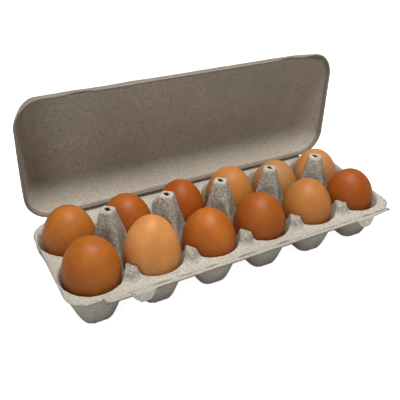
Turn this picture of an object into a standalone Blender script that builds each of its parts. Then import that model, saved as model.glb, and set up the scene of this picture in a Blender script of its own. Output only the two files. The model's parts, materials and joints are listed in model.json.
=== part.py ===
"""Moulded-pulp carton for twelve eggs, lid standing open, with its twelve eggs.

Units are metres. X runs along the carton, -Y is the front, +Y the hinge side and Z is up.
The feet stand on z = 0. The tray and the lid are thin sheets of pulp: each is a surface given
by formulas, offset by the sheet's thickness.
"""
import math

import bmesh
import bpy
from mathutils import Vector

MM = 0.001

# Cups: two rows of six, one pitch apart along X.
COLUMNS = 6
PITCH = 48.0
CUPS_X = -0.9                  # middle of each row of cups
ROW_Y = 23.85                  # each row's centre line, either side of y = 0
FLOOR_RADIUS = 9.5             # flat floor of a cup
RIM_RADIUS = 23.8              # a cup's radius at rim height
SQUARENESS = 2.5               # added to a cup section's exponent at its middle; 2, a circle, at the rim
WALL_CURVE = 1.25               # exponent of the wall's rise from the floor's edge
CUP_HEIGHT = 34.0              # from the floor's upper face to the rim
OVER_RIM = 160.0               # a cup's wall goes on this steeply above the rim, up the posts
FOOT_LEAN = 2.4                # how far each floor sits outward of its cup's centre

# Tray sheet.
PULP = 1.6                     # thickness of the tray's sheet
RIM_Z = 38.0                   # height of the rim at y = 0
RIM_SLOPE = 0.1                # the rim rises towards the hinge
SADDLE_Z = 23.0                # lowest point of the ridges between cups
SADDLE_RISE = 1.25             # slope of the land where it runs in between two end cups
BLEND = 3.0                    # rounding where two surfaces meet

# Posts on the centre line, and bumps along the front and the back.
POST_Z = 69.7
POST_TOP = 6.0                 # half diagonal of a post's flat top
POST_TAPER = 3.1              # height lost for each millimetre away from the top
POST_ROUNDING = 1.25           # 1 is a sharp diamond section, 2 a circle
POST_HOLE = (1.1, 2.6)         # half width and half length of the hole in a post's top
BUMP_Y = 37.5
BUMP_Z = 41.2
BUMP_TOP = 5.4
BUMP_TAPER = 1.9
BUMP_ROUNDING = 1.4

# Outline of the tray.
HALF_LENGTH = 146.0
FRONT_Y = -50.5
BACK_Y = 52.9
FRONT_CORNER = 13.0
BACK_CORNER = 20.0
EDGE_ROLL = 1.6                # the outer edge turns down by this much
EDGE_ROLL_WIDTH = 3.0

# Flange along the front, with two locking tabs.
FLANGE_ENDS = (-122.9, 134.6)
FLANGE_Y = -56.8
FLANGE_DROP = 0.3              # slope of the flange in front of its groove
GROOVE_Y = -53.8
GROOVE_DEPTH = 0.7
TABS_X = (-94.5, 108.0)
TAB_HALF_WIDTH = 9.0
TAB_Y = (-58.2, -59.0)         # rows of the tab, which hangs almost straight down
TAB_Z = (29.0, 25.5)

# Lid, described closed: local y runs from the hinge (0) to the front, local z up from its rim.
HINGE_Y = 53.5
HINGE_Z = 43.0
LID_OPEN_DEG = 86.4            # from the level position to the open one shown
LID_HALF_LENGTH = 145.6
LID_DEPTH = 101.5
LID_HEIGHT = 34.6
LID_CORNER = 22.5
LID_PULP = 1.4
LID_GAP = 0.4                  # clear space between the hinge axis and the lid's edge
LID_PROFILE = (                # inset from the outline and height, going up the outside
    (0.0, 0.2),
    (1.2, 1.0),
    (1.8, 4.6),
    (2.4, 7.8),
    (9.4, 28.6),
    (12.4, 33.0),
    (17.5, LID_HEIGHT),
)
END_LEAN = 0.3                 # the end walls lean in more, by this share at the top
SLOT_ROW = 2                   # profile step that the slots cut through
SLOT_X = 94.0
SLOT_HALF_LENGTH = 9.0
CORNER_STEPS = 4

# Eggs, left to right: widest radius, height of the lower and upper ends, how pointed the top
# is (below zero the blunt end is up), and how far it stands off its cup's centre in X and Y.
FRONT_EGGS = (
    (21.1, 8.2, 63.9, -0.04, 0.4, 0.2),
    (21.5, 9.2, 68.4, 0.10, -0.4, 0.3),
    (21.3, 9.0, 60.6, 0.05, 0.0, 0.1),
    (21.4, 9.0, 61.6, 0.04, -0.4, 0.2),
    (21.1, 9.0, 62.6, 0.03, -0.6, 0.1),
    (20.5, 8.8, 60.6, 0.02, -1.2, 0.3),
)
BACK_EGGS = (
    (20.4, 8.2, 66.0, -0.03, 0.0, 0.0),
    (20.9, 8.9, 63.8, 0.03, -0.6, 0.0),
    (20.8, 8.2, 64.4, 0.05, 0.0, 0.0),
    (21.1, 8.2, 65.0, 0.02, 0.0, 0.0),
    (20.8, 8.2, 60.2, 0.04, 0.0, 0.0),
    (20.2, 8.8, 61.0, 0.02, -1.2, 0.6),
)
EGG_SIDES = 12
EGG_RINGS = 8

CENTRE_Y = 13.95               # middle of the whole's depth with the lid open, moved to y = 0

PULP_COLOUR = (0.42, 0.37, 0.30, 1.0)
LID_COLOUR = (0.36, 0.32, 0.26, 1.0)
EGG_COLOUR = (0.45, 0.19, 0.05, 1.0)


def clear_scene():
    for item in list(bpy.data.objects):
        bpy.data.objects.remove(item, do_unlink=True)


def make_material(name, colour, roughness):
    material = bpy.data.materials.new(name)
    material.use_nodes = True
    shader = material.node_tree.nodes["Principled BSDF"]
    shader.inputs["Base Color"].default_value = colour
    shader.inputs["Roughness"].default_value = roughness
    shader.inputs["Metallic"].default_value = 0.0
    return material


def add_object(name, bm, material, smooth_angle):
    bmesh.ops.scale(bm, vec=(MM, MM, MM), verts=bm.verts)
    mesh = bpy.data.meshes.new(name)
    bm.to_mesh(mesh)
    bm.free()
    mesh.materials.append(material)
    mesh.shade_smooth()
    mesh.set_sharp_from_angle(angle=math.radians(smooth_angle))
    item = bpy.data.objects.new(name, mesh)
    bpy.context.collection.objects.link(item)
    return item


def smooth_min(a, b, width):
    """The lower of two heights, rounded over `width` where they cross."""
    overlap = max(width - abs(a - b), 0.0) / width
    return min(a, b) - overlap * overlap * width / 4.0


def smooth_max(a, b, width):
    return -smooth_min(-a, -b, width)


def superellipse(x, y, power):
    return (abs(x) ** power + abs(y) ** power) ** (1.0 / power)


# ---- Tray surface -------------------------------------------------------------------------

def cup_centres():
    """Where each cup is, row by row, left to right."""
    first = CUPS_X - PITCH * (COLUMNS - 1) / 2.0
    return [(first + PITCH * i, side * ROW_Y) for side in (-1, 1) for i in range(COLUMNS)]


def post_centres():
    first = CUPS_X - PITCH * (COLUMNS - 2) / 2.0
    return [first + PITCH * i for i in range(COLUMNS - 1)]


def rim_height(y):
    return RIM_Z + RIM_SLOPE * y


def cup_height(x, y):
    """Inner surface of the nearest cup."""
    cx, cy = min(cup_centres(), key=lambda c: (x - c[0]) ** 2 + (y - c[1]) ** 2)
    side = 1.0 if cy > 0.0 else -1.0
    low = max(1.0 - math.hypot(x - cx, y - cy) / RIM_RADIUS, 0.0)
    power = 2.0 + SQUARENESS * low
    reach = superellipse(x - cx, y - cy - side * FOOT_LEAN * low, power)
    climb = max(reach - FLOOR_RADIUS, 0.0) / (RIM_RADIUS - FLOOR_RADIUS)
    return PULP + CUP_HEIGHT * climb ** WALL_CURVE + OVER_RIM * max(climb - 1.0, 0.0)


def cone(x, y, top, flat, taper, rounding):
    reach = superellipse(x, y, rounding)
    return top - taper * max(reach - flat, 0.0)


def ridge_height(x, y):
    """Everything between the cups: saddles, land, posts and bumps."""
    end_cup = PITCH * (COLUMNS - 1) / 2.0
    between_ends = SADDLE_Z + SADDLE_RISE * (abs(x - CUPS_X) - end_cup)
    between_rows = SADDLE_Z + SADDLE_RISE * (abs(y) - ROW_Y)
    inner = max(SADDLE_Z, between_ends, between_rows)
    height = smooth_min(inner, rim_height(y), BLEND)
    near = min(post_centres(), key=lambda c: abs(x - c))
    post = cone(x - near, y, POST_Z, POST_TOP, POST_TAPER, POST_ROUNDING)
    height = smooth_max(height, post, BLEND)
    for side in (-1.0, 1.0):
        bump = cone(x - near, y - side * BUMP_Y, BUMP_Z, BUMP_TOP, BUMP_TAPER, BUMP_ROUNDING)
        height = smooth_max(height, bump, BLEND)
    return min(height, max(rim_height(y), BUMP_Z, post))


def outline_distance(x, y):
    """How far a point lies inside the tray's outline, without its flange."""
    radius = BACK_CORNER if y > 0.0 else FRONT_CORNER
    middle = (BACK_Y + FRONT_Y) / 2.0
    half = (BACK_Y - FRONT_Y) / 2.0
    qx = abs(x) - (HALF_LENGTH - radius)
    qy = abs(y - middle) - (half - radius)
    outside = math.hypot(max(qx, 0.0), max(qy, 0.0))
    return radius - outside - min(max(qx, qy), 0.0)


def edge_drop(x, y):
    """The rolled-down outer edge, which the flange replaces along the front."""
    if y < FRONT_Y + EDGE_ROLL_WIDTH and FLANGE_ENDS[0] < x < FLANGE_ENDS[1]:
        return 0.0
    near = max(1.0 - outline_distance(x, y) / EDGE_ROLL_WIDTH, 0.0)
    return EDGE_ROLL * min(near, 1.0) ** 2


def flange_height(y):
    groove = GROOVE_DEPTH * max(1.0 - abs(y - GROOVE_Y) / 2.0, 0.0)
    return rim_height(y) - FLANGE_DROP * max(GROOVE_Y - y, 0.0) - groove


def tray_height(x, y):
    if y < TAB_Y[0]:
        share = (y - TAB_Y[0]) / (TAB_Y[1] - TAB_Y[0])
        return TAB_Z[0] + share * (TAB_Z[1] - TAB_Z[0])
    if y < FLANGE_Y:
        share = (y - FLANGE_Y) / (TAB_Y[0] - FLANGE_Y)
        start = flange_height(FLANGE_Y)
        return start + share * (TAB_Z[0] - start)
    if y < FRONT_Y:
        return flange_height(y)
    height = smooth_min(ridge_height(x, y), cup_height(x, y), BLEND)
    return height - edge_drop(x, y)


def tray_normal(x, y):
    step = 0.05
    dx = (tray_height(x + step, y) - tray_height(x - step, y)) / (2.0 * step)
    dy = (tray_height(x, y + step) - tray_height(x, y - step)) / (2.0 * step)
    return Vector((-dx, -dy, 1.0)).normalized()


def round_corner(x, y):
    """Bend the grid's square corners into the tray's round ones."""
    if y < FRONT_Y:
        return x, y
    radius = BACK_CORNER if y > 0.0 else FRONT_CORNER
    edge = BACK_Y if y > 0.0 else -FRONT_Y
    a = (abs(x) - (HALF_LENGTH - radius)) / radius
    b = (abs(y) - (edge - radius)) / radius
    if a <= 0.0 or b <= 0.0:
        return x, y
    new_x = HALF_LENGTH - radius + radius * a * math.sqrt(1.0 - b * b / 2.0)
    new_y = edge - radius + radius * b * math.sqrt(1.0 - a * a / 2.0)
    return math.copysign(new_x, x), math.copysign(new_y, y)


def grid_lines_x():
    steps = (POST_HOLE[0], POST_TOP, 9.5, 14.0, 18.5)
    lines = [post + side * step for post in post_centres() for side in (-1, 1) for step in steps]
    lines += [centre[0] for centre in cup_centres()[:COLUMNS]]
    end_cup = PITCH * (COLUMNS - 1) / 2.0
    reaches = (6.5, 16.0, 21.5)
    lines += [CUPS_X + side * (end_cup + reach) for side in (-1, 1) for reach in reaches]
    lines += [side * x for x in (HALF_LENGTH - 1.5, HALF_LENGTH) for side in (-1, 1)]
    lines += [tab + side * TAB_HALF_WIDTH for tab in TABS_X for side in (-1, 1)]
    return thin_out(lines + list(FLANGE_ENDS))


def thin_out(lines):
    """Sort, and drop a line that lies within 1.2 mm of the last one."""
    kept = []
    for value in sorted(lines):
        if not kept or value - kept[-1] > 1.2:
            kept.append(value)
    return kept


def grid_lines_y():
    half = (POST_HOLE[1], POST_TOP, 9.5, 14.0, 18.5, ROW_Y, 28.5, 33.0, 36.5, 40.5, 44.0, 48.0)
    lines = [side * y for y in half for side in (-1, 1)]
    lines += [BACK_Y - 1.5, BACK_Y]
    lines += [FRONT_Y, GROOVE_Y, FLANGE_Y, TAB_Y[0], TAB_Y[1]]
    return sorted(lines)


def is_material(x, y):
    """False in the holes of the posts, and beside the flange and the tabs."""
    if y < FLANGE_Y:
        return min(abs(x - tab) for tab in TABS_X) < TAB_HALF_WIDTH
    if y < FRONT_Y:
        return FLANGE_ENDS[0] < x < FLANGE_ENDS[1]
    near = min(post_centres(), key=lambda c: abs(x - c))
    return abs(x - near) > POST_HOLE[0] or abs(y) > POST_HOLE[1]


def build_tray(material):
    xs, ys = grid_lines_x(), grid_lines_y()
    bm = bmesh.new()
    upper, lower = {}, {}

    def corner(i, j):
        if (i, j) not in upper:
            x, y = round_corner(xs[i], ys[j])
            point = Vector((x, y, tray_height(x, y)))
            upper[i, j] = bm.verts.new(point)
            lower[i, j] = bm.verts.new(point - PULP * tray_normal(x, y))
        return i, j

    edges = {}
    for i in range(len(xs) - 1):
        for j in range(len(ys) - 1):
            if not is_material((xs[i] + xs[i + 1]) / 2.0, (ys[j] + ys[j + 1]) / 2.0):
                continue
            loop = [corner(i, j), corner(i + 1, j), corner(i + 1, j + 1), corner(i, j + 1)]
            bm.faces.new([upper[c] for c in loop])
            bm.faces.new([lower[c] for c in reversed(loop)])
            for a, b in zip(loop, loop[1:] + loop[:1]):
                edges[a, b] = True
    for a, b in edges:
        if (b, a) not in edges:
            bm.faces.new([upper[b], upper[a], lower[a], lower[b]])
    bmesh.ops.triangulate(bm, faces=bm.faces)
    return add_object("tray", bm, material, 60.0)


# ---- Lid ----------------------------------------------------------------------------------

def lid_ring(inset, height):
    """One loop of the lid at a given inset from its outline, anticlockwise from above."""
    half = LID_HALF_LENGTH - inset * (1.0 + END_LEAN * height / LID_HEIGHT)
    radius = max(LID_CORNER - inset, 1.0)
    front, back = -LID_DEPTH + inset, -LID_GAP - inset
    marks = [side * (SLOT_X + share * SLOT_HALF_LENGTH) for side in (-1, 1) for share in (-1, 1)]
    marks = sorted(marks + [0.0])
    middle = half - radius
    centres = (
        (middle, front + radius, -90.0),
        (middle, back - radius, 0.0),
        (-middle, back - radius, 90.0),
        (-middle, front + radius, 180.0),
    )
    points = [(x, front) for x in marks]
    for index, (cx, cy, start) in enumerate(centres):
        for step in range(CORNER_STEPS + 1):
            angle = math.radians(start + 90.0 * step / CORNER_STEPS)
            points.append((cx + radius * math.cos(angle), cy + radius * math.sin(angle)))
        if index == 1:
            points += [(x, back) for x in reversed(marks)]
    return [Vector((x, y, height)) for x, y in points]


def inner_profile():
    """The outer profile moved inwards by the sheet's thickness."""
    result = []
    last = len(LID_PROFILE) - 1
    for index, (inset, height) in enumerate(LID_PROFILE):
        a = LID_PROFILE[max(index - 1, 0)]
        b = LID_PROFILE[min(index + 1, last)]
        run, rise = b[0] - a[0], b[1] - a[1]
        length = math.hypot(run, rise)
        result.append((inset + LID_PULP * rise / length, height - LID_PULP * run / length))
    result[0] = (LID_PROFILE[0][0] + LID_PULP, LID_PROFILE[0][1])
    result[-1] = (LID_PROFILE[-1][0], LID_HEIGHT - LID_PULP)
    return result


def is_slot(ring, row, k):
    a, b = ring[k], ring[(k + 1) % len(ring)]
    middle = (a + b) / 2.0
    in_front = middle.y < -LID_DEPTH + LID_PROFILE[-1][0]
    return row == SLOT_ROW and in_front and abs(abs(middle.x) - SLOT_X) < SLOT_HALF_LENGTH


def skin(bm, rings, outward):
    """Faces between successive rings, then a cap over the last one."""
    loops = [[bm.verts.new(point) for point in ring] for ring in rings]
    count = len(rings[0])
    for row in range(len(rings) - 1):
        for k in range(count):
            if is_slot(rings[row], row, k):
                continue
            n = (k + 1) % count
            face = [loops[row][k], loops[row][n], loops[row + 1][n], loops[row + 1][k]]
            bm.faces.new(face if outward else face[::-1])
    bm.faces.new(loops[-1] if outward else loops[-1][::-1])
    return loops


def close_slot(bm, outer, inner, k):
    low_o, high_o = outer[SLOT_ROW], outer[SLOT_ROW + 1]
    low_i, high_i = inner[SLOT_ROW], inner[SLOT_ROW + 1]
    n = k + 1
    bm.faces.new([low_o[k], low_o[n], low_i[n], low_i[k]])
    bm.faces.new([high_o[n], high_o[k], high_i[k], high_i[n]])
    bm.faces.new([high_o[k], low_o[k], low_i[k], high_i[k]])
    bm.faces.new([low_o[n], high_o[n], high_i[n], low_i[n]])


def build_lid(material):
    bm = bmesh.new()
    outer_rings = [lid_ring(inset, height) for inset, height in LID_PROFILE]
    inner_rings = [lid_ring(inset, height) for inset, height in inner_profile()]
    outer = skin(bm, outer_rings, True)
    inner = skin(bm, inner_rings, False)
    count = len(outer[0])
    for k in range(count):
        n = (k + 1) % count
        bm.faces.new([outer[0][n], outer[0][k], inner[0][k], inner[0][n]])
        if is_slot(outer_rings[SLOT_ROW], SLOT_ROW, k):
            close_slot(bm, outer, inner, k)
    bmesh.ops.triangulate(bm, faces=bm.faces)
    lid = add_object("lid", bm, material, 40.0)
    lid.rotation_euler = (math.radians(-LID_OPEN_DEG), 0.0, 0.0)
    lid.location = (0.0, HINGE_Y * MM, HINGE_Z * MM)
    return lid


# ---- Eggs ---------------------------------------------------------------------------------

def build_egg(name, centre, shape, material):
    radius, bottom, top, pointed, off_x, off_y = shape
    middle, half = (top + bottom) / 2.0, (top - bottom) / 2.0
    bm = bmesh.new()
    bmesh.ops.create_uvsphere(bm, u_segments=EGG_SIDES, v_segments=EGG_RINGS, radius=1.0)
    for vert in bm.verts:
        width = radius * (1.0 - pointed * vert.co.z)
        vert.co = Vector((vert.co.x * width, vert.co.y * width, vert.co.z * half))
    egg = add_object(name, bm, material, 180.0)
    egg.location = ((centre[0] + off_x) * MM, (centre[1] + off_y) * MM, middle * MM)
    return egg


def build_eggs(material):
    rows = (("egg_front", -ROW_Y, FRONT_EGGS), ("egg_back", ROW_Y, BACK_EGGS))
    for row_name, y, shapes in rows:
        for index, shape in enumerate(shapes):
            x = CUPS_X + PITCH * (index - (COLUMNS - 1) / 2.0)
            build_egg(f"{row_name}_{index + 1}", (x, y), shape, material)


def main():
    clear_scene()
    build_tray(make_material("pulp", PULP_COLOUR, 0.95))
    build_lid(make_material("lid_pulp", LID_COLOUR, 0.95))
    build_eggs(make_material("eggshell", EGG_COLOUR, 0.45))
    for item in bpy.data.objects:
        item.location.y -= CENTRE_Y * MM


main()
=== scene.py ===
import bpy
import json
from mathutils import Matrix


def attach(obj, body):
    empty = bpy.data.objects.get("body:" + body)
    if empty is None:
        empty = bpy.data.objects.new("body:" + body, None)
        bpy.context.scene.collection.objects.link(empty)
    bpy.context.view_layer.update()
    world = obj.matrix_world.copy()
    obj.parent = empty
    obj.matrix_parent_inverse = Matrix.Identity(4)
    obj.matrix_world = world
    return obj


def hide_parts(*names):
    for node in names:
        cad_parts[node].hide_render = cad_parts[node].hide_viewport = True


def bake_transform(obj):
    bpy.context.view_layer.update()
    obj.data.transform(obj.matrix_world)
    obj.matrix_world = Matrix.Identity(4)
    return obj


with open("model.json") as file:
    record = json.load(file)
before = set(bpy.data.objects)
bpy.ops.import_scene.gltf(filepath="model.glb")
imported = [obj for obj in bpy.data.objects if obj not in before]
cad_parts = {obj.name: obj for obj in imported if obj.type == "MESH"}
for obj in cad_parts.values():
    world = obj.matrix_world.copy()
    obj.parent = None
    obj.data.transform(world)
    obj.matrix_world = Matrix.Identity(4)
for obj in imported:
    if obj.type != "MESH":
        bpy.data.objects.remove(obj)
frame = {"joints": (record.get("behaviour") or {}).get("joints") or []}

"""Looks of the moulded-pulp egg carton and its twelve brown eggs.

Lengths here are millimetres in the carton's own frame, whose y = 0 runs through the posts;
add_piece turns them into metres in the row frame. -Y is the front and Z is up.
"""
import json
import math

import bpy
import numpy as np
from mathutils import Matrix, Vector

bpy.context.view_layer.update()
MM = 0.001
SEED = 12

# The hinge's place comes from the frame, and the carton's own y = 0 follows from it.
HINGE = frame["joints"][0]
HINGE_Y = 53.5
HINGE_Z = HINGE["pos_m"][2] / MM
SHIFT_Y = HINGE["pos_m"][1] / MM - HINGE_Y

# Cups, posts and bumps, as the CAD model has them.
COLUMNS = 6
PITCH = 48.0
CUPS_X = -0.9
ROW_Y = 23.85
END_CUP = PITCH * (COLUMNS - 1) / 2.0
FLOOR_RADIUS = 9.5
RIM_RADIUS = 23.8
SQUARENESS = 2.5
WALL_CURVE = 1.25
CUP_HEIGHT = 34.0
OVER_RIM = 160.0
FOOT_LEAN = 2.4
PULP = 1.6
RIM_Z = 38.0
RIM_SLOPE = 0.1
SADDLE_Z = 23.0
SADDLE_RISE = 1.25
BLEND = 3.0
POST_Z = 69.7
POST_TOP = 6.0
POST_TAPER = 3.1
POST_ROUNDING = 1.25
POST_HOLE = (1.8, 3.0)
BUMP_Y = 37.5
BUMP_Z = 41.2
BUMP_TOP = 5.4
BUMP_TAPER = 1.9
BUMP_ROUNDING = 1.4

# The tray's outline, and the flange with its tabs.
HALF_LENGTH = 146.0
FRONT_Y = -50.5
BACK_Y = 52.9
FRONT_CORNER = 13.0
BACK_CORNER = 20.0
EDGE_ROLL = 1.6
EDGE_ROLL_WIDTH = 3.0
FLANGE_ENDS = (-122.9, 134.6)
FLANGE_ROUND = 7.0
FLANGE_Y = -56.8
FLANGE_DROP = 0.3
GROOVE_Y = -53.8
GROOVE_DEPTH = 3.2
GROOVE_HALF_WIDTH = 0.8
SLIT_Y = -49.3
SLITS = ((-69.0, -64.0), (-31.0, -16.5), (69.5, 79.5))
SLIT_HALF_WIDTH = 0.5
SLIT_DEPTH = 2.0
TIP = (135.4, -55.4, 33.4)     # point that the right end is drawn out to
TIP_REACH = 16.0
END_REACH = 20.0               # length of flange that its shaped ends take up
TABS_X = (-94.5, 108.0)
TAB_HALF_WIDTH = 9.0
TAB_NARROWING = 0.62
TAB_Y = -59.0
TAB_Z = 25.5
LAND_UNDER_LID = 36.0          # behind this y the shut lid comes close to the land
GRID = 0.9                     # spacing of the tray's fine grid
TAB_GRID = 0.4                 # and its closer spacing along the tabs
SLOPE_STEP = 0.25              # distance over which the tray's slope is measured

# Lid, closed: y from the hinge to the front, z up from the rim.
LID_OPEN_DEG = 86.4
LID_HALF_LENGTH = 145.6
LID_DEPTH = 101.5
LID_HEIGHT = 34.6
LID_CORNER = 22.5
LID_PULP = 1.4
LID_GAP = 0.4
LID_PROFILE = (
    (0.0, 0.2),
    (1.2, 1.0),
    (1.8, 4.6),
    (2.4, 7.8),
    (9.4, 28.6),
    (12.4, 33.0),
    (17.5, LID_HEIGHT),
)
END_LEAN = 0.3
LID_WALL_STEP = 1.1
LID_PANEL_STEP = 2.2
LID_DENT = 0.3                 # furthest that dents push the lid's skins out
LID_NOISE_OFFSET = 300.0
SLOT_X = 94.0
SLOT_HALF_LENGTH = 9.0
SLOT_RANGE = (4.6, 7.6)
STRAP_BULGE = 1.2

# Chips pressed into the lid's panel: place on the closed lid, and radius.
FLECKS = (
    (-90.5, -24.5, 0.75),
    (-102.8, -57.6, 0.5),
    (-44.3, -81.3, 0.5),
    (-70.0, -37.0, 0.4),
    (-8.0, -15.5, 0.5),
    (62.0, -66.0, 0.35),
)

# Strip of pulp over the hinge: its section from the tray to the open lid, as (y, z).
STRIP_PATH = ((51.6, 41.0), (52.6, 41.2), (53.3, 41.7), (53.8, 42.6), (54.3, 43.4), (55.2, 43.9))
STRIP_HALF_LENGTH = 122.0
STRIP_PULP = 0.8

# Eggs, left to right: widest radius, height of the lower and upper ends, how pointed the top
# is (below zero the blunt end is up), and how far it stands off its cup's centre in X and Y.
FRONT_EGGS = (
    (21.1, 8.2, 63.9, -0.04, 0.4, 0.2),
    (21.5, 9.2, 68.4, 0.10, -0.4, 0.3),
    (21.3, 9.0, 60.6, 0.05, 0.0, 0.1),
    (21.4, 9.0, 61.6, 0.04, -0.4, 0.2),
    (21.1, 9.0, 62.6, 0.03, -0.6, 0.1),
    (20.5, 8.8, 60.6, 0.02, -1.2, 0.3),
)
BACK_EGGS = (
    (20.4, 8.2, 66.0, -0.03, 0.0, 0.0),
    (20.9, 8.9, 63.8, 0.03, -0.6, 0.0),
    (20.8, 8.2, 64.4, 0.05, 0.0, 0.0),
    (21.1, 8.2, 65.0, 0.02, 0.0, 0.0),
    (20.8, 8.2, 60.2, 0.04, 0.0, 0.0),
    (20.2, 8.8, 61.0, 0.02, -1.2, 0.6),
)
EGG_SEGMENTS = 64
EGG_RINGS = 48

# Pulp colours, linear.
TRAY_BASE = (0.47, 0.43, 0.37)
TRAY_LIGHT = (0.60, 0.56, 0.49)
TRAY_DARK = (0.29, 0.26, 0.215)
TRAY_FLECKS = 0.7
# The lid's colours are the tray's made a little lighter and warmer: painted light for the lid's
# panel, which stands in shade.
LID_BASE = (0.50, 0.445, 0.375)
LID_LIGHT = (0.63, 0.57, 0.48)
LID_DARK = (0.32, 0.28, 0.225)
LID_FLECKS = 0.5
PULP_FLECK = (0.05, 0.035, 0.025)
PULP_LINT = (0.80, 0.76, 0.68)
CHIP_DARK = (0.030, 0.022, 0.018)
CHIP_LIGHT = (0.080, 0.060, 0.045)

# Shell colours, linear: a deeper and a lighter one for each egg.
FRONT_SHELLS = (
    ((0.32, 0.088, 0.009), (0.38, 0.117, 0.014)),
    ((0.50, 0.200, 0.054), (0.60, 0.260, 0.080)),
    ((0.34, 0.085, 0.009), (0.42, 0.123, 0.016)),
    ((0.28, 0.066, 0.007), (0.33, 0.090, 0.011)),
    ((0.35, 0.126, 0.027), (0.41, 0.160, 0.039)),
    ((0.28, 0.063, 0.006), (0.33, 0.084, 0.009)),
)
BACK_SHELLS = (
    ((0.34, 0.101, 0.014), (0.41, 0.132, 0.021)),
    ((0.29, 0.065, 0.006), (0.34, 0.086, 0.009)),
    ((0.29, 0.058, 0.005), (0.34, 0.077, 0.008)),
    ((0.40, 0.147, 0.031), (0.46, 0.184, 0.044)),
    ((0.35, 0.151, 0.049), (0.41, 0.190, 0.067)),
    ((0.43, 0.178, 0.057), (0.50, 0.227, 0.079)),
)

# Studio: name, place and aim in metres, size, watts and colour of each light.
FLOOR_GLOW = 0.93
WORLD_LIGHT = 0.18
LIGHTS = (
    ("overhead", (0.02, -0.16, 1.0), (0.0, -0.02, 0.0), (0.5, 0.4), 12.5, (1.0, 0.99, 0.97)),
    ("left_front", (-1.0, -0.9, 0.35), (0.0, 0.0, 0.05), (0.6, 0.4), 2.6, (1.0, 0.99, 0.98)),
)

# Camera, about the carton's own frame.
CAMERA_AZIMUTH = -29.0
CAMERA_ELEVATION = 28.67
CAMERA_ROLL = -0.12
CAMERA_DISTANCE = 462.9
CAMERA_TARGET = (-19.5, 0.0, 56.35)
CAMERA_LENS = 52.19


# ---- Small helpers ------------------------------------------------------------------------

class Noise:
    """Smooth repeating noise between -1 and 1, from a seeded lattice."""

    def __init__(self, seed, size=32):
        self.size = size
        self.table = np.random.default_rng(seed).uniform(-1.0, 1.0, (size, size, size))

    def __call__(self, points, scale):
        """Noise at the points, whose bumps are about `scale` millimetres across."""
        p = np.asarray(points, float) / scale
        low = np.floor(p).astype(int)
        t = p - low
        t = t * t * (3.0 - 2.0 * t)
        result = 0.0
        for corner in np.ndindex(2, 2, 2):
            index = (low + corner) % self.size
            weight = np.prod(np.where(corner, t, 1.0 - t), axis=-1)
            result = result + weight * self.table[index[..., 0], index[..., 1], index[..., 2]]
        return result


NOISE = Noise(SEED)


def smooth_step(low, high, value):
    """0 at `low`, 1 at `high`, with an S-shaped rise between."""
    t = np.clip((value - low) / (high - low), 0.0, 1.0)
    return t * t * (3.0 - 2.0 * t)


def smooth_min(a, b, width):
    """The lower of two heights, blended over `width` where they cross."""
    overlap = np.maximum(width - np.abs(a - b), 0.0) / width
    return np.minimum(a, b) - overlap * overlap * width / 4.0


def smooth_max(a, b, width):
    return -smooth_min(-a, -b, width)


def superellipse(x, y, power):
    """Distance from the origin by a rounded-square measure; a power of 2 is a circle."""
    return (np.abs(x) ** power + np.abs(y) ** power) ** (1.0 / power)


def add_piece(name, verts, faces, material, body, node):
    """A smooth mesh piece from millimetre points, riding on a body in place of a CAD node."""
    points = np.asarray(verts, float) + (0.0, SHIFT_Y, 0.0)
    mesh = bpy.data.meshes.new(name)
    mesh.from_pydata((points * MM).tolist(), [], faces)
    mesh.update()
    mesh.materials.append(material)
    mesh.shade_smooth()
    piece = bpy.data.objects.new(name, mesh)
    bpy.context.collection.objects.link(piece)
    if body:
        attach(piece, body)
    if node:
        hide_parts(node)
    return piece


# ---- Materials ----------------------------------------------------------------------------

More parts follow.
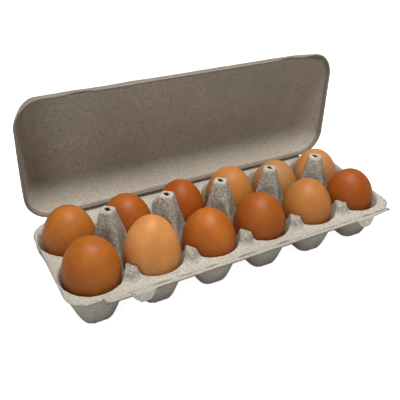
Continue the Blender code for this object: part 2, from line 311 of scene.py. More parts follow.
class Nodes:
    """Short ways to add and join shader nodes."""

    def __init__(self, name):
        self.material = bpy.data.materials.new(name)
        self.material.use_nodes = True
        self.tree = self.material.node_tree
        self.shader = self.tree.nodes["Principled BSDF"]
        coordinates = self.tree.nodes.new("ShaderNodeTexCoord")
        self.position = coordinates.outputs["Object"]

    def link(self, source, target):
        self.tree.links.new(source, target)

    def noise(self, per_mm, detail=4.0, roughness=0.55, distortion=0.0, stretch=None, move=0.0):
        node = self.tree.nodes.new("ShaderNodeTexNoise")
        node.inputs["Scale"].default_value = per_mm / MM
        node.inputs["Detail"].default_value = detail
        node.inputs["Roughness"].default_value = roughness
        node.inputs["Distortion"].default_value = distortion
        mapping = self.tree.nodes.new("ShaderNodeMapping")
        mapping.inputs["Scale"].default_value = stretch or (1.0, 1.0, 1.0)
        mapping.inputs["Location"].default_value = (move, move, move)
        self.link(self.position, mapping.inputs["Vector"])
        self.link(mapping.outputs["Vector"], node.inputs["Vector"])
        return node.outputs["Fac"]

    def cells(self, per_mm, randomness=1.0):
        node = self.tree.nodes.new("ShaderNodeTexVoronoi")
        node.inputs["Scale"].default_value = per_mm / MM
        node.inputs["Randomness"].default_value = randomness
        self.link(self.position, node.inputs["Vector"])
        return node.outputs["Distance"]

    def axes(self):
        """The X, Y and Z of the position, in metres."""
        node = self.tree.nodes.new("ShaderNodeSeparateXYZ")
        self.link(self.position, node.inputs["Vector"])
        return node.outputs

    def span(self, value, low, high, start=0.0, end=1.0):
        """A value from `start` to `end` as the input goes from `low` to `high`."""
        node = self.tree.nodes.new("ShaderNodeMapRange")
        node.interpolation_type = "SMOOTHSTEP"
        node.inputs["From Min"].default_value = low
        node.inputs["From Max"].default_value = high
        node.inputs["To Min"].default_value = start
        node.inputs["To Max"].default_value = end
        self.link(value, node.inputs["Value"])
        return node.outputs["Result"]

    def mix(self, factor, first, second, blend="MIX"):
        node = self.tree.nodes.new("ShaderNodeMix")
        node.data_type = "RGBA"
        node.blend_type = blend
        slots = {s.identifier: s for s in node.inputs}
        for value, key in ((factor, "Factor_Float"), (first, "A_Color"), (second, "B_Color")):
            if isinstance(value, bpy.types.NodeSocket):
                self.link(value, slots[key])
            elif key == "Factor_Float":
                slots[key].default_value = value
            else:
                slots[key].default_value = (*value, 1.0)
        return next(s for s in node.outputs if s.identifier == "Result_Color")

    def math(self, operation, first, second):
        node = self.tree.nodes.new("ShaderNodeMath")
        node.operation = operation
        for index, value in enumerate((first, second)):
            if isinstance(value, bpy.types.NodeSocket):
                self.link(value, node.inputs[index])
            else:
                node.inputs[index].default_value = value
        return node.outputs["Value"]

    def bump(self, height, distance_mm, strength=1.0, normal=None):
        node = self.tree.nodes.new("ShaderNodeBump")
        node.inputs["Strength"].default_value = strength
        node.inputs["Distance"].default_value = distance_mm * MM
        self.link(height, node.inputs["Height"])
        if normal:
            self.link(normal, node.inputs["Normal"])
        return node.outputs["Normal"]


def above_rim(n):
    """0 up to the tray's rim and 1 over it, on the sides of the posts and front bumps."""
    axes = n.axes()
    rise = n.math("MULTIPLY", axes["Y"], -RIM_SLOPE)
    height = n.math("ADD", axes["Z"], rise)
    rim = (RIM_Z - RIM_SLOPE * SHIFT_Y) * MM
    sides = n.span(height, rim + 1.5 * MM, rim + 4.0 * MM)
    below_top = n.span(axes["Z"], (POST_Z - 0.6) * MM, (POST_Z - 2.2) * MM)
    return n.math("MULTIPLY", sides, below_top)


def in_groove(n):
    """1 in the deepest part of the flange's groove, where painted shade darkens the crease."""
    wander = n.span(n.noise(0.03, detail=2.0, move=23.0), 0.3, 0.7, -0.6 * MM, 0.6 * MM)
    across = n.math("ADD", n.axes()["Y"], wander)
    middle = (GROOVE_Y + SHIFT_Y) * MM
    behind = n.span(across, middle - 0.7 * MM, middle - 0.2 * MM)
    ahead = n.span(across, middle + 0.7 * MM, middle + 0.2 * MM)
    return n.math("MULTIPLY", n.math("MULTIPLY", behind, ahead), 0.75)


def at_lid_rim(n):
    """1 at the lid's rim and on its front wall, where painted shade tones down the lit edge."""
    axes = n.axes()
    angle = math.radians(LID_OPEN_DEG)
    back = n.math("SUBTRACT", axes["Y"], (HINGE_Y + SHIFT_Y) * MM)
    up = n.math("SUBTRACT", axes["Z"], HINGE_Z * MM)
    across = n.math("MULTIPLY", back, math.sin(angle))
    along = n.math("MULTIPLY", up, math.cos(angle))
    depth = n.math("ADD", across, along)
    front_wall = n.span(up, (LID_DEPTH - 11.0) * MM, (LID_DEPTH - 7.0) * MM)
    return n.math("MAXIMUM", n.span(depth, 4.0 * MM, 1.5 * MM), front_wall)


def pulp_material(name, base, light, dark, flecks, painted_tray_shade=False):
    """Moulded pulp: felted grey-brown fibres with dark flecks and pale lint.

    The tray's kind has painted shade on the sides of its posts and in its groove; the lid's kind
    has painted shade at its rim.
    """
    n = Nodes(name)
    fibres = n.noise(0.55, detail=9.0, roughness=0.72, distortion=0.6)
    strands = n.noise(0.16, detail=7.0, roughness=0.7, distortion=1.8,
                      stretch=(1.0, 2.2, 1.0), move=3.0)
    clouds = n.noise(0.018, detail=3.0, roughness=0.5, move=7.0)
    colour = n.mix(n.span(fibres, 0.34, 0.66), dark, light)
    colour = n.mix(0.35, colour, base)
    colour = n.mix(n.span(strands, 0.54, 0.72, 0.0, 0.40), colour, light)
    colour = n.mix(n.span(strands, 0.46, 0.30, 0.0, 0.45), colour, dark)
    colour = n.mix(n.span(clouds, 0.35, 0.65, 0.0, 0.30), colour, dark)
    speck_noise = n.noise(0.42, detail=2.0, roughness=0.4, move=11.0)
    colour = n.mix(n.span(speck_noise, 0.725, 0.765, 0.0, flecks), colour, PULP_FLECK)
    lint = n.noise(0.50, detail=2.0, roughness=0.4, move=19.0)
    colour = n.mix(n.span(lint, 0.70, 0.76, 0.0, 0.35), colour, PULP_LINT)
    if painted_tray_shade:
        # Painted shade: the steep sides of the posts and bumps above the rim are darkened.
        share = n.math("MULTIPLY", above_rim(n), n.span(fibres, 0.58, 0.42, 0.15, 0.85))
        colour = n.mix(share, colour, tuple(0.70 * c for c in dark))
        # Painted shade in the groove's crease.
        colour = n.mix(in_groove(n), colour, tuple(0.55 * c for c in dark))
    else:
        # Painted shade at the lid's rim and front wall.
        share = n.math("MULTIPLY", at_lid_rim(n), 0.75)
        colour = n.mix(share, colour, tuple(0.5 * c for c in dark))
    n.link(colour, n.shader.inputs["Base Color"])
    n.link(n.span(fibres, 0.3, 0.7, 0.86, 1.0), n.shader.inputs["Roughness"])
    n.shader.inputs["Specular IOR Level"].default_value = 0.15
    coarse = n.bump(strands, 1.2, 0.6)
    n.link(n.bump(fibres, 0.6, 0.9, coarse), n.shader.inputs["Normal"])
    return n.material


def fleck_material():
    """Dark chips of print and bark caught in the pulp."""
    n = Nodes("dark_fleck")
    tone = n.span(n.noise(1.2, detail=3.0), 0.35, 0.65)
    n.link(n.mix(tone, CHIP_DARK, CHIP_LIGHT), n.shader.inputs["Base Color"])
    n.shader.inputs["Roughness"].default_value = 0.9
    return n.material


def shell_material(name, deep, pale):
    """Brown eggshell: mottled pigment, darker pin-point speckles and fine pores."""
    n = Nodes(name)
    mottle = n.noise(0.05, detail=5.0, roughness=0.6)
    grain = n.noise(0.8, detail=5.0, roughness=0.65, move=5.0)
    colour = n.mix(n.span(mottle, 0.35, 0.65), deep, pale)
    darker = tuple(0.72 * c for c in deep)
    colour = n.mix(n.span(grain, 0.5, 0.75, 0.0, 0.30), colour, darker)
    speck_noise = n.noise(0.34, detail=2.0, roughness=0.4, move=13.0)
    speck = tuple(0.42 * c for c in deep)
    colour = n.mix(n.span(speck_noise, 0.72, 0.77, 0.0, 0.55), colour, speck)
    n.link(colour, n.shader.inputs["Base Color"])
    n.link(n.span(grain, 0.3, 0.7, 0.42, 0.54), n.shader.inputs["Roughness"])
    n.shader.inputs["Specular IOR Level"].default_value = 0.22
    n.shader.inputs["Subsurface Weight"].default_value = 0.06
    n.shader.inputs["Subsurface Radius"].default_value = (1.0, 0.45, 0.2)
    n.shader.inputs["Subsurface Scale"].default_value = 0.0012
    pores = n.cells(1.1)
    rough = n.bump(grain, 0.05, 0.5)
    n.link(n.bump(pores, 0.06, 0.4, rough), n.shader.inputs["Normal"])
    return n.material


# ---- Tray ---------------------------------------------------------------------------------

def nearest_column(x):
    first = CUPS_X - END_CUP
    return first + PITCH * np.clip(np.round((x - first) / PITCH), 0, COLUMNS - 1)


def nearest_post(x):
    first = CUPS_X - END_CUP + PITCH / 2.0
    return first + PITCH * np.clip(np.round((x - first) / PITCH), 0, COLUMNS - 2)


def rim_height(y):
    return RIM_Z + RIM_SLOPE * y


def cup_height(x, y):
    """The cups: flat square-cornered floors, and walls that steepen to round rims."""
    side = np.where(y > 0.0, 1.0, -1.0)
    dx = x - nearest_column(x)
    dy = y - side * ROW_Y
    low = np.maximum(1.0 - np.hypot(dx, dy) / RIM_RADIUS, 0.0)
    power = 2.0 + SQUARENESS * low
    reach = superellipse(dx, dy - side * FOOT_LEAN * low, power)
    climb = np.maximum(reach - FLOOR_RADIUS, 0.0) / (RIM_RADIUS - FLOOR_RADIUS)
    return PULP + CUP_HEIGHT * climb ** WALL_CURVE + OVER_RIM * np.maximum(climb - 1.0, 0.0)


def cone(x, y, top, flat, taper, rounding):
    """A blunt pyramid's height, with a flat top and straight sides."""
    reach = superellipse(x, y, rounding)
    return top - taper * np.maximum(reach - flat, 0.0)


def ridge_height(x, y):
    """The pulp between the cups: saddles, the land, the posts and both rows of bumps."""
    between_ends = SADDLE_Z + SADDLE_RISE * (np.abs(x - CUPS_X) - END_CUP)
    between_rows = SADDLE_Z + SADDLE_RISE * (np.abs(y) - ROW_Y)
    inner = np.maximum(np.maximum(SADDLE_Z, between_ends), between_rows)
    height = smooth_min(inner, rim_height(y), BLEND)
    dx = x - nearest_post(x)
    post = cone(dx, y, POST_Z, POST_TOP, POST_TAPER, POST_ROUNDING)
    height = smooth_max(height, post, BLEND)
    for side in (-1.0, 1.0):
        bump = cone(dx, y - side * BUMP_Y, BUMP_Z, BUMP_TOP, BUMP_TAPER, BUMP_ROUNDING)
        height = smooth_max(height, bump, BLEND)
    highest = np.maximum(np.maximum(rim_height(y), BUMP_Z), post)
    return np.minimum(height, highest)


def outline_distance(x, y):
    """How far a point is inside the tray's rounded outline."""
    radius = np.where(y > 0.0, BACK_CORNER, FRONT_CORNER)
    middle = (BACK_Y + FRONT_Y) / 2.0
    half = (BACK_Y - FRONT_Y) / 2.0
    qx = np.abs(x) - (HALF_LENGTH - radius)
    qy = np.abs(y - middle) - (half - radius)
    outside = np.hypot(np.maximum(qx, 0.0), np.maximum(qy, 0.0))
    return radius - outside - np.minimum(np.maximum(qx, qy), 0.0)


def edge_drop(x, y):
    near = np.clip(1.0 - outline_distance(x, y) / EDGE_ROLL_WIDTH, 0.0, 1.0)
    on_flange = (x > FLANGE_ENDS[0]) & (x < FLANGE_ENDS[1])
    at_flange = (y < FRONT_Y + EDGE_ROLL_WIDTH) & on_flange
    return np.where(at_flange, 0.0, EDGE_ROLL * near ** 2)


def flange_height(y):
    groove = GROOVE_DEPTH * np.maximum(1.0 - np.abs(y - GROOVE_Y) / GROOVE_HALF_WIDTH, 0.0)
    return rim_height(y) - FLANGE_DROP * np.maximum(GROOVE_Y - y, 0.0) - groove


def slit_drop(x, y):
    """Short torn slits in the land behind the front edge."""
    across = np.maximum(1.0 - np.abs(y - SLIT_Y) / SLIT_HALF_WIDTH, 0.0)
    along = sum((x > low) & (x < high) for low, high in SLITS)
    return SLIT_DEPTH * across * along


def tray_height(x, y):
    cups = smooth_min(ridge_height(x, y), cup_height(x, y), BLEND)
    cups = cups - edge_drop(x, y) - slit_drop(x, y)
    share = np.clip((FLANGE_Y - y) / (FLANGE_Y - TAB_Y), 0.0, 1.0)
    start = flange_height(FLANGE_Y)
    tab = start + share ** 0.7 * (TAB_Z - start)
    front = np.where(y < FLANGE_Y, tab, flange_height(y))
    return np.where(y < FRONT_Y, front, cups)


def round_corner(x, y):
    """Bend the square grid's corners to the tray's round ones."""
    radius = np.where(y > 0.0, BACK_CORNER, FRONT_CORNER)
    edge = np.where(y > 0.0, BACK_Y, -FRONT_Y)
    a = np.maximum((np.abs(x) - (HALF_LENGTH - radius)) / radius, 0.0)
    b = np.maximum((np.abs(y) - (edge - radius)) / radius, 0.0)
    corner = (a > 0.0) & (b > 0.0) & (y >= FRONT_Y)
    b = np.minimum(b, 1.0)
    new_x = HALF_LENGTH - radius + radius * a * np.sqrt(1.0 - b * b / 2.0)
    new_y = edge - radius + radius * b * np.sqrt(1.0 - a * a / 2.0)
    return (np.where(corner, np.copysign(new_x, x), x),
            np.where(corner, np.copysign(new_y, y), y))


def shape_flange(x, y, z):
    """Round the flange's left end, draw its right end out to a tip and narrow the tabs."""
    out = np.clip((FRONT_Y - y) / (FRONT_Y - FLANGE_Y), 0.0, 1.0)
    left = np.clip((FLANGE_ENDS[0] + END_REACH - x) / END_REACH, 0.0, 1.0)
    x = x + left * FLANGE_ROUND * (1.0 - np.sqrt(1.0 - out ** 2))
    share = np.clip((FLANGE_Y - y) / (FLANGE_Y - TAB_Y), 0.0, 1.0)
    centre = np.where(x < 0.0, *TABS_X)
    x = centre + (x - centre) * (1.0 - TAB_NARROWING * share ** 1.3)
    right = np.clip(1.0 - (FLANGE_ENDS[1] - x) / TIP_REACH, 0.0, 1.0) ** 1.5 * (y < FRONT_Y)
    x = x + right * (TIP[0] - FLANGE_ENDS[1])
    y = y + 0.85 * right * (TIP[1] - y)
    z = z + 0.85 * right * (TIP[2] - z)
    return x, y, z


def lines_through(keys, step):
    """Grid lines through every key value, about `step` apart."""
    keys = sorted(set(keys))
    lines = []
    for low, high in zip(keys, keys[1:]):
        count = max(round((high - low) / step), 1)
        lines += [low + (high - low) * k / count for k in range(count)]
    return np.array(lines + [keys[-1]])


def is_material(x, y):
    """Whether there is pulp at a place on the grid: none beside the tabs or in the posts' holes."""
    on_tab = np.abs(x - np.where(x < 0.0, *TABS_X)) < TAB_HALF_WIDTH
    on_flange = (x > FLANGE_ENDS[0]) & (x < FLANGE_ENDS[1])
    in_hole = (np.abs(x - nearest_post(x)) < POST_HOLE[0]) & (np.abs(y) < POST_HOLE[1])
    return np.where(y < FLANGE_Y, on_tab, np.where(y < FRONT_Y, on_flange, ~in_hole))


def sheet_faces(solid, count_y):
    """Faces of both skins and of every free edge, for the solid cells of a grid."""
    wide, deep = solid.shape
    offset = (wide + 1) * count_y

    def index(i, j):
        return i * count_y + j

    faces = []
    edges = {}
    for i, j in np.argwhere(solid):
        i, j = int(i), int(j)
        loop = [index(i, j), index(i + 1, j), index(i + 1, j + 1), index(i, j + 1)]
        faces.append(loop)
        faces.append([offset + v for v in reversed(loop)])
        for a, b in zip(loop, loop[1:] + loop[:1]):
            edges[a, b] = True
    for a, b in edges:
        if (b, a) not in edges:
            faces.append([b, a, offset + a, offset + b])
    return faces


def drop_unused(verts, faces):
    used = np.unique([v for face in faces for v in face])
    renumber = np.full(len(verts), -1)
    renumber[used] = np.arange(len(used))
    return verts[used], [[int(renumber[v]) for v in face] for face in faces]


def tray_relief(points, slope):
    """How far the pulp stands proud of the tray's smooth form, in millimetres."""
    soft = 0.16 * NOISE(points, 9.0) + 0.10 * NOISE(points + 50.0, 3.6)
    grain = 0.5 * NOISE(points, 1.7) + 0.5 * NOISE(points + 90.0, 2.9)
    high = smooth_step(RIM_Z - 3.0, RIM_Z + 3.0, points[..., 2])
    steep = smooth_step(0.5, 1.2, slope)
    return soft + (0.09 + 0.50 * high * steep) * grain


def tray_lines():
    """The grid lines of the tray in x and y, which pass through every edge in it."""
    first_post = CUPS_X - END_CUP + PITCH / 2.0
    posts = [first_post + PITCH * k for k in range(COLUMNS - 1)]
    keys_x = [-HALF_LENGTH, HALF_LENGTH, *FLANGE_ENDS]
    keys_x += [tab + t * TAB_HALF_WIDTH for tab in TABS_X for t in (-1, 1)]
    keys_x += [p + s * POST_HOLE[0] for p in posts for s in (-1, 1)]
    keys_y = [TAB_Y, FLANGE_Y, GROOVE_Y, FRONT_Y, -POST_HOLE[1], POST_HOLE[1], BACK_Y]
    keys_y += [SLIT_Y + t * SLIT_HALF_WIDTH for t in (-1, 0, 1)]
    keys_y += [GROOVE_Y - GROOVE_HALF_WIDTH, GROOVE_Y + GROOVE_HALF_WIDTH]
    xs = lines_through(keys_x, GRID)
    ys = lines_through(keys_y, GRID)
    along_tabs = lines_through([TAB_Y, FLANGE_Y], TAB_GRID)[1:-1]
    return xs, np.concatenate([ys[:1], along_tabs, ys[ys >= FLANGE_Y]])


def tray_slopes(x, y):
    """The tray's rise per millimetre along X and along Y."""
    step = SLOPE_STEP
    slope_x = (tray_height(x + step, y) - tray_height(x - step, y)) / (2.0 * step)
    slope_y = (tray_height(x, y + step) - tray_height(x, y - step)) / (2.0 * step)
    return slope_x, slope_y


def upper_relief(points, y, slope):
    """The relief of the tray's upper skin, held down where the lid comes close and on the posts."""
    relief = tray_relief(points, slope)
    held_down = (points[..., 2] > POST_Z - 0.5) | (y > LAND_UNDER_LID)
    relief = np.where(held_down, np.minimum(relief, 0.0), relief)
    return relief - 0.5 * smooth_step(LAND_UNDER_LID, LAND_UNDER_LID + 3.0, y)


def under_thickness(points, z):
    """How thick the pulp is under each point: uneven, but exact in the cups' floors."""
    uneven = PULP + 0.12 * NOISE(points + 200.0, 5.0)
    return np.where(z < PULP + 0.05, PULP, uneven)


def build_tray(material):
    xs, ys = tray_lines()
    gx, gy = np.meshgrid(xs, ys, indexing="ij")
    x, y = round_corner(gx, gy)
    z = tray_height(x, y)
    slope_x, slope_y = tray_slopes(x, y)
    normal = np.stack([-slope_x, -slope_y, np.ones_like(z)], axis=-1)
    normal /= np.linalg.norm(normal, axis=-1, keepdims=True)
    points = np.stack(shape_flange(x, y, z), axis=-1)
    relief = upper_relief(points, y, np.hypot(slope_x, slope_y))
    upper = points + normal * relief[..., None]
    lower = points - normal * under_thickness(points, z)[..., None]
    verts = np.concatenate([upper.reshape(-1, 3), lower.reshape(-1, 3)])
    mid_x = (gx[:-1, :-1] + gx[1:, 1:]) / 2.0
    mid_y = (gy[:-1, :-1] + gy[1:, 1:]) / 2.0
    verts, faces = drop_unused(verts, sheet_faces(is_material(mid_x, mid_y), len(ys)))
    return add_piece("tray_pulp", verts, faces, material, "tray", "tray")


# ---- Lid ----------------------------------------------------------------------------------

def smooth_profile():
    """The lid's profile with its corners cut, then the flat panel to the middle."""
    points = np.array(LID_PROFILE)
    quarter = 0.75 * points[:-1] + 0.25 * points[1:]
    three = 0.25 * points[:-1] + 0.75 * points[1:]
    inner = np.stack([quarter, three], axis=1).reshape(-1, 2)
    points = np.concatenate([points[:1], inner, points[-1:]])
    lengths = np.hypot(*np.diff(points, axis=0).T)
    along = np.concatenate([[0.0], np.cumsum(lengths)])
    count = round(along[-1] / LID_WALL_STEP)
    even = np.linspace(0.0, along[-1], count + 1)
    wall = np.stack([np.interp(even, along, points[:, k]) for k in (0, 1)], axis=1)
    middle = (LID_DEPTH - LID_GAP) / 2.0 - 1.0
    panel = np.arange(LID_PROFILE[-1][0] + LID_PANEL_STEP, middle, LID_PANEL_STEP)
    flat = np.stack([panel, np.full_like(panel, LID_HEIGHT)], axis=1)
    return np.concatenate([wall, flat])


def offset_profile(profile, distance):
    """The profile moved inward, square to itself."""
    run = np.gradient(profile[:, 0])
    rise = np.gradient(profile[:, 1])
    length = np.hypot(run, rise)
    return profile + distance * np.stack([rise / length, -run / length], axis=1)


def ring_shares():
    """Places along each straight side of the lid, from -1 to 1, with the slots' ends exact."""
    straight = LID_HALF_LENGTH - LID_CORNER
    keys = [s * (SLOT_X + t * SLOT_HALF_LENGTH) for s in (-1, 1) for t in (-1, 1)]
    return lines_through([-straight, straight] + keys, 2.0) / straight


def lid_ring(inset, height, shares):
    """One loop of the lid, anticlockwise from above, starting along the front."""
    half = LID_HALF_LENGTH - inset * (1.0 + END_LEAN * height / LID_HEIGHT)
    radius = max(LID_CORNER - inset, 0.8)
    straight = half - radius
    front, back = -LID_DEPTH + inset, -LID_GAP - inset
    arc = np.radians(np.linspace(0.0, 90.0, 13))
    side = np.linspace(front + radius, back - radius, 30)[1:-1]
    parts = [np.stack([shares * straight, np.full_like(shares, front)], axis=1)]
    corners = ((straight, front + radius, -90.0), (straight, back - radius, 0.0),
               (-straight, back - radius, 90.0), (-straight, front + radius, 180.0))
    for index, (cx, cy, start) in enumerate(corners):
        angle = arc + math.radians(start)
        turn = np.stack([cx + radius * np.cos(angle), cy + radius * np.sin(angle)], axis=1)
        parts.append(turn[1:] if index == 0 else turn[:-1] if index == 3 else turn)
        if index == 0:
            parts.append(np.stack([np.full_like(side, half), side], axis=1))
        if index == 1:
            inner = shares[::-1][1:-1] * straight
            parts.append(np.stack([inner, np.full_like(inner, back)], axis=1))
        if index == 2:
            parts.append(np.stack([np.full_like(side, -half), side[::-1]], axis=1))
    flat = np.concatenate(parts)
    return np.column_stack([flat, np.full(len(flat), height)])


def lid_skin(profile):
    """One skin of the closed lid as rows of loops, from the rim to the panel's middle."""
    shares = ring_shares()
    return np.stack([lid_ring(inset, height, shares) for inset, height in profile])


def strap_bulge(points):
    """The strap between each slot and the rim bows outward."""
    off = (np.abs(np.abs(points[..., 0]) - SLOT_X)) / (SLOT_HALF_LENGTH + 3.0)
    across = np.clip(1.0 - off ** 2, 0.0, 1.0)
    low = smooth_step(SLOT_RANGE[0] + 0.3, SLOT_RANGE[0] - 0.6, points[..., 2])
    in_front = points[..., 1] < -LID_DEPTH + 10.0
    return STRAP_BULGE * across * low * in_front


def lid_relief(points):
    """How far the lid's pulp stands out of its smooth form, in millimetres."""
    moved = points + LID_NOISE_OFFSET
    soft = 0.35 * NOISE(moved, 26.0) + 0.14 * NOISE(moved, 7.0)
    return np.minimum(soft + 0.09 * NOISE(moved, 1.9), LID_DENT)


def skin_normals(grid):
    """Unit normals of a skin, from its neighbours along each loop and up the wall."""
    along = np.roll(grid, -1, axis=1) - np.roll(grid, 1, axis=1)
    up = np.gradient(grid, axis=0)
    normal = np.cross(along, up)
    return normal / np.maximum(np.linalg.norm(normal, axis=-1, keepdims=True), 1e-9)


def lid_faces(outer, count):
    """Faces of both skins, of the rim edge and of the slots' walls."""
    rows = len(outer)
    offset = rows * count
    middle = (outer[:-1] + outer[1:]) / 2.0
    middle = (middle + np.roll(middle, -1, axis=1)) / 2.0
    in_x = np.abs(np.abs(middle[..., 0]) - SLOT_X) < SLOT_HALF_LENGTH
    in_z = (middle[..., 2] > SLOT_RANGE[0]) & (middle[..., 2] < SLOT_RANGE[1])
    hole = in_x & in_z & (middle[..., 1] < -LID_DEPTH + 12.0)
    faces = []
    edges = {}
    for row in range(rows - 1):
        for k in range(count):
            if hole[row, k]:
                continue
            n = (k + 1) % count
            loop = [row * count + k, row * count + n, (row + 1) * count + n, (row + 1) * count + k]
            faces.append(loop)
            faces.append([offset + v for v in reversed(loop)])
            for a, b in zip(loop, loop[1:] + loop[:1]):
                edges[a, b] = True
    last = list(range((rows - 1) * count, rows * count))
    faces.append(last)
    faces.append([offset + v for v in reversed(last)])
    for a, b in zip(last, last[1:] + last[:1]):
        edges[a, b] = True
    for a, b in edges:
        if (b, a) not in edges:
            faces.append([b, a, offset + a, offset + b])
    return faces


def open_lid(points):
    """From the closed lid's own frame to its open place behind the tray."""
    angle = math.radians(-LID_OPEN_DEG)
    y = points[:, 1] * math.cos(angle) - points[:, 2] * math.sin(angle)
    z = points[:, 1] * math.sin(angle) + points[:, 2] * math.cos(angle)
    return np.column_stack([points[:, 0], HINGE_Y + y, HINGE_Z + z])


def build_lid(material):
    profile = smooth_profile()
    outer = lid_skin(profile)
    inner = lid_skin(offset_profile(profile, LID_PULP))
    faces = lid_faces(outer, outer.shape[1])
    skins = []
    for grid in (outer, inner):
        moved = grid + skin_normals(grid) * lid_relief(grid)[..., None]
        moved[..., 1] -= strap_bulge(grid)
        skins.append(moved.reshape(-1, 3))
    verts = open_lid(np.concatenate(skins))
    return add_piece("lid_pulp", verts, faces, material, "lid", "lid")


def build_flecks(material):
    """Dark chips pressed into the lid's inside: low discs with wavy edges."""
    verts, faces = [], []
    sides = 10
    height = LID_HEIGHT - LID_PULP
    for x, y, radius in FLECKS:
        ring = len(verts)
        turns = np.linspace(0.0, 2.0 * math.pi, sides, endpoint=False)
        reach = radius * (1.0 + 0.3 * np.sin(3.0 * turns + x))
        for lift, share in ((0.1, 1.0), (-0.25, 0.9), (-0.35, 0.35)):
            verts += [(x + share * r * math.cos(a), y + share * r * math.sin(a), height + lift)
                      for r, a in zip(reach, turns)]
        for row in range(2):
            for k in range(sides):
                n = (k + 1) % sides
                low = ring + row * sides
                faces.append([low + n, low + k, low + sides + k, low + sides + n])
        faces.append([ring + 2 * sides + k for k in reversed(range(sides))])
        faces.append([ring + k for k in range(sides)])
    points = open_lid(np.array(verts))
    return add_piece("lid_flecks", points, faces, material, "lid", None)


def build_hinge_strip(material):
    """The thin fold of pulp that joins the tray's back edge to the lid's."""
    xs = np.arange(-STRIP_HALF_LENGTH, STRIP_HALF_LENGTH + 1.0, 2.0)
    path = np.array(STRIP_PATH)
    run = np.gradient(path, axis=0)
    normal = np.stack([-run[:, 1], run[:, 0]], axis=1) / np.linalg.norm(run, axis=1)[:, None]
    verts = []
    for side in (0.0, -STRIP_PULP):
        for x in xs:
            for (y, z), (ny, nz) in zip(path, normal):
                verts.append((x, y + side * ny, z + side * nz))
    verts = np.array(verts)
    verts[:, 2] += 0.1 * NOISE(verts, 5.0)
    solid = np.ones((len(xs) - 1, len(path) - 1), bool)
    faces = sheet_faces(solid, len(path))
    strip = add_piece("hinge_strip", verts, faces, material, None, None)
    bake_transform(strip)


# ---- Eggs ---------------------------------------------------------------------------------

def build_egg(name, centre, shape, material, node):
    """An egg turned about the upright line through its cup, wider towards its blunt end."""
    radius, bottom, top, pointed, off_x, off_y = shape
    middle, half = (top + bottom) / 2.0, (top - bottom) / 2.0
    verts = [(0.0, 0.0, 1.0)]
    for ring in range(1, EGG_RINGS):
        polar = math.pi * ring / EGG_RINGS
        for k in range(EGG_SEGMENTS):
            turn = 2.0 * math.pi * k / EGG_SEGMENTS
            verts.append((math.sin(polar) * math.cos(turn), math.sin(polar) * math.sin(turn),
                          math.cos(polar)))
    verts.append((0.0, 0.0, -1.0))
    unit = np.array(verts)
    width = radius * (1.0 - pointed * unit[:, 2])
    points = unit * np.column_stack([width, width, np.full(len(unit), half)])
    points *= 1.0 + 0.004 * NOISE(unit * 10.0 + centre[0], 8.0)[:, None]
    points += (centre[0] + off_x, centre[1] + off_y, middle)
    faces = [[0, 1 + k, 1 + (k + 1) % EGG_SEGMENTS] for k in range(EGG_SEGMENTS)]
    for ring in range(EGG_RINGS - 2):
        low = 1 + ring * EGG_SEGMENTS
        for k in range(EGG_SEGMENTS):
            n = (k + 1) % EGG_SEGMENTS
            faces.append([low + k, low + EGG_SEGMENTS + k, low + EGG_SEGMENTS + n, low + n])
    last = len(verts) - 1
    low = last - EGG_SEGMENTS
    faces += [[last, low + (k + 1) % EGG_SEGMENTS, low + k] for k in range(EGG_SEGMENTS)]
    return add_piece(name, points, faces, material, "tray", node)


def build_eggs():
    rows = (("front", -ROW_Y, FRONT_EGGS, FRONT_SHELLS), ("back", ROW_Y, BACK_EGGS, BACK_SHELLS))
    for row, y, shapes, shells in rows:
        for index, (shape, shell) in enumerate(zip(shapes, shells)):
            label = f"{row}_{index + 1}"
            x = CUPS_X - END_CUP + PITCH * index
            material = shell_material(f"eggshell_{label}", *shell)
            build_egg(f"shell_{label}", (x, y), shape, material, f"egg_{label}")


# ---- Studio -------------------------------------------------------------------------------

def add_floor():
    """A white floor whose shadow stays faint, as on an overlit light table."""
    bpy.ops.mesh.primitive_plane_add(size=6.0, location=(0.0, 0.0, -0.0003))
    floor = bpy.context.object
    floor.name = "floor"
    n = Nodes("floor_paper")
    tone = n.span(n.noise(0.01), 0.3, 0.7)
    n.link(n.mix(tone, (0.60, 0.60, 0.595), (0.62, 0.62, 0.615)), n.shader.inputs["Base Color"])
    n.shader.inputs["Roughness"].default_value = 0.9
    n.shader.inputs["Emission Color"].default_value = (1.0, 1.0, 1.0, 1.0)
    paths = n.tree.nodes.new("ShaderNodeLightPath")
    glow = n.math("MULTIPLY", paths.outputs["Is Camera Ray"], FLOOR_GLOW)
    n.link(glow, n.shader.inputs["Emission Strength"])
    floor.data.materials.append(n.material)


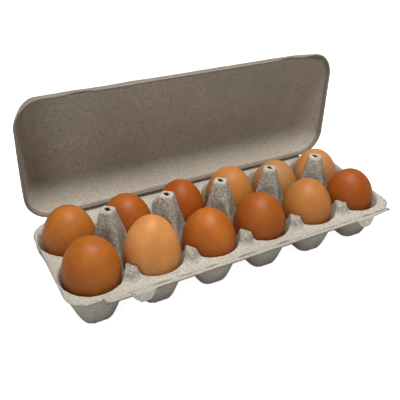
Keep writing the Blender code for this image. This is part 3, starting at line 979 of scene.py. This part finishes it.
def add_area_light(name, location, target, size, power, colour):
    light = bpy.data.lights.new(name, "AREA")
    light.shape = "RECTANGLE"
    light.size, light.size_y = size
    light.energy = power
    light.color = colour
    item = bpy.data.objects.new(name, light)
    item.location = location
    item.rotation_euler = (Vector(target) - Vector(location)).to_track_quat("-Z", "Y").to_euler()
    bpy.context.collection.objects.link(item)


def add_lights():
    """White to the camera; a strong soft light from above, and a weak one from the front left."""
    world = bpy.data.worlds.new("studio")
    world.use_nodes = True
    tree = world.node_tree
    background = tree.nodes["Background"]
    background.inputs["Color"].default_value = (1.0, 1.0, 1.0, 1.0)
    paths = tree.nodes.new("ShaderNodeLightPath")
    strength = tree.nodes.new("ShaderNodeMapRange")
    strength.inputs["To Min"].default_value = WORLD_LIGHT
    strength.inputs["To Max"].default_value = 1.0
    tree.links.new(paths.outputs["Is Camera Ray"], strength.inputs["Value"])
    tree.links.new(strength.outputs["Result"], background.inputs["Strength"])
    bpy.context.scene.world = world
    bpy.context.scene.view_settings.view_transform = "Standard"
    for light in LIGHTS:
        add_area_light(*light)


def add_camera():
    camera = bpy.data.cameras.new("camera")
    camera.lens = CAMERA_LENS
    camera.sensor_width = 36.0
    camera.clip_start = 0.01
    item = bpy.data.objects.new("camera", camera)
    azimuth, elevation = math.radians(CAMERA_AZIMUTH), math.radians(CAMERA_ELEVATION)
    back = Vector((math.sin(azimuth) * math.cos(elevation),
                   -math.cos(azimuth) * math.cos(elevation), math.sin(elevation)))
    target = Vector((CAMERA_TARGET[0], CAMERA_TARGET[1] + SHIFT_Y, CAMERA_TARGET[2])) * MM
    item.location = target + back * CAMERA_DISTANCE * MM
    aim = (-back).to_track_quat("-Z", "Y").to_matrix()
    roll = Matrix.Rotation(math.radians(CAMERA_ROLL), 3, "Z")
    item.rotation_euler = (aim @ roll).to_euler()
    bpy.context.collection.objects.link(item)
    bpy.context.scene.camera = item


def main():
    add_camera()
    add_lights()
    add_floor()
    tray = pulp_material("tray_fibre", TRAY_BASE, TRAY_LIGHT, TRAY_DARK, TRAY_FLECKS, painted_tray_shade=True)
    lid = pulp_material("lid_fibre", LID_BASE, LID_LIGHT, LID_DARK, LID_FLECKS)
    build_tray(tray)
    build_lid(lid)
    build_hinge_strip(tray)
    build_flecks(fleck_material())
    build_eggs()


main()
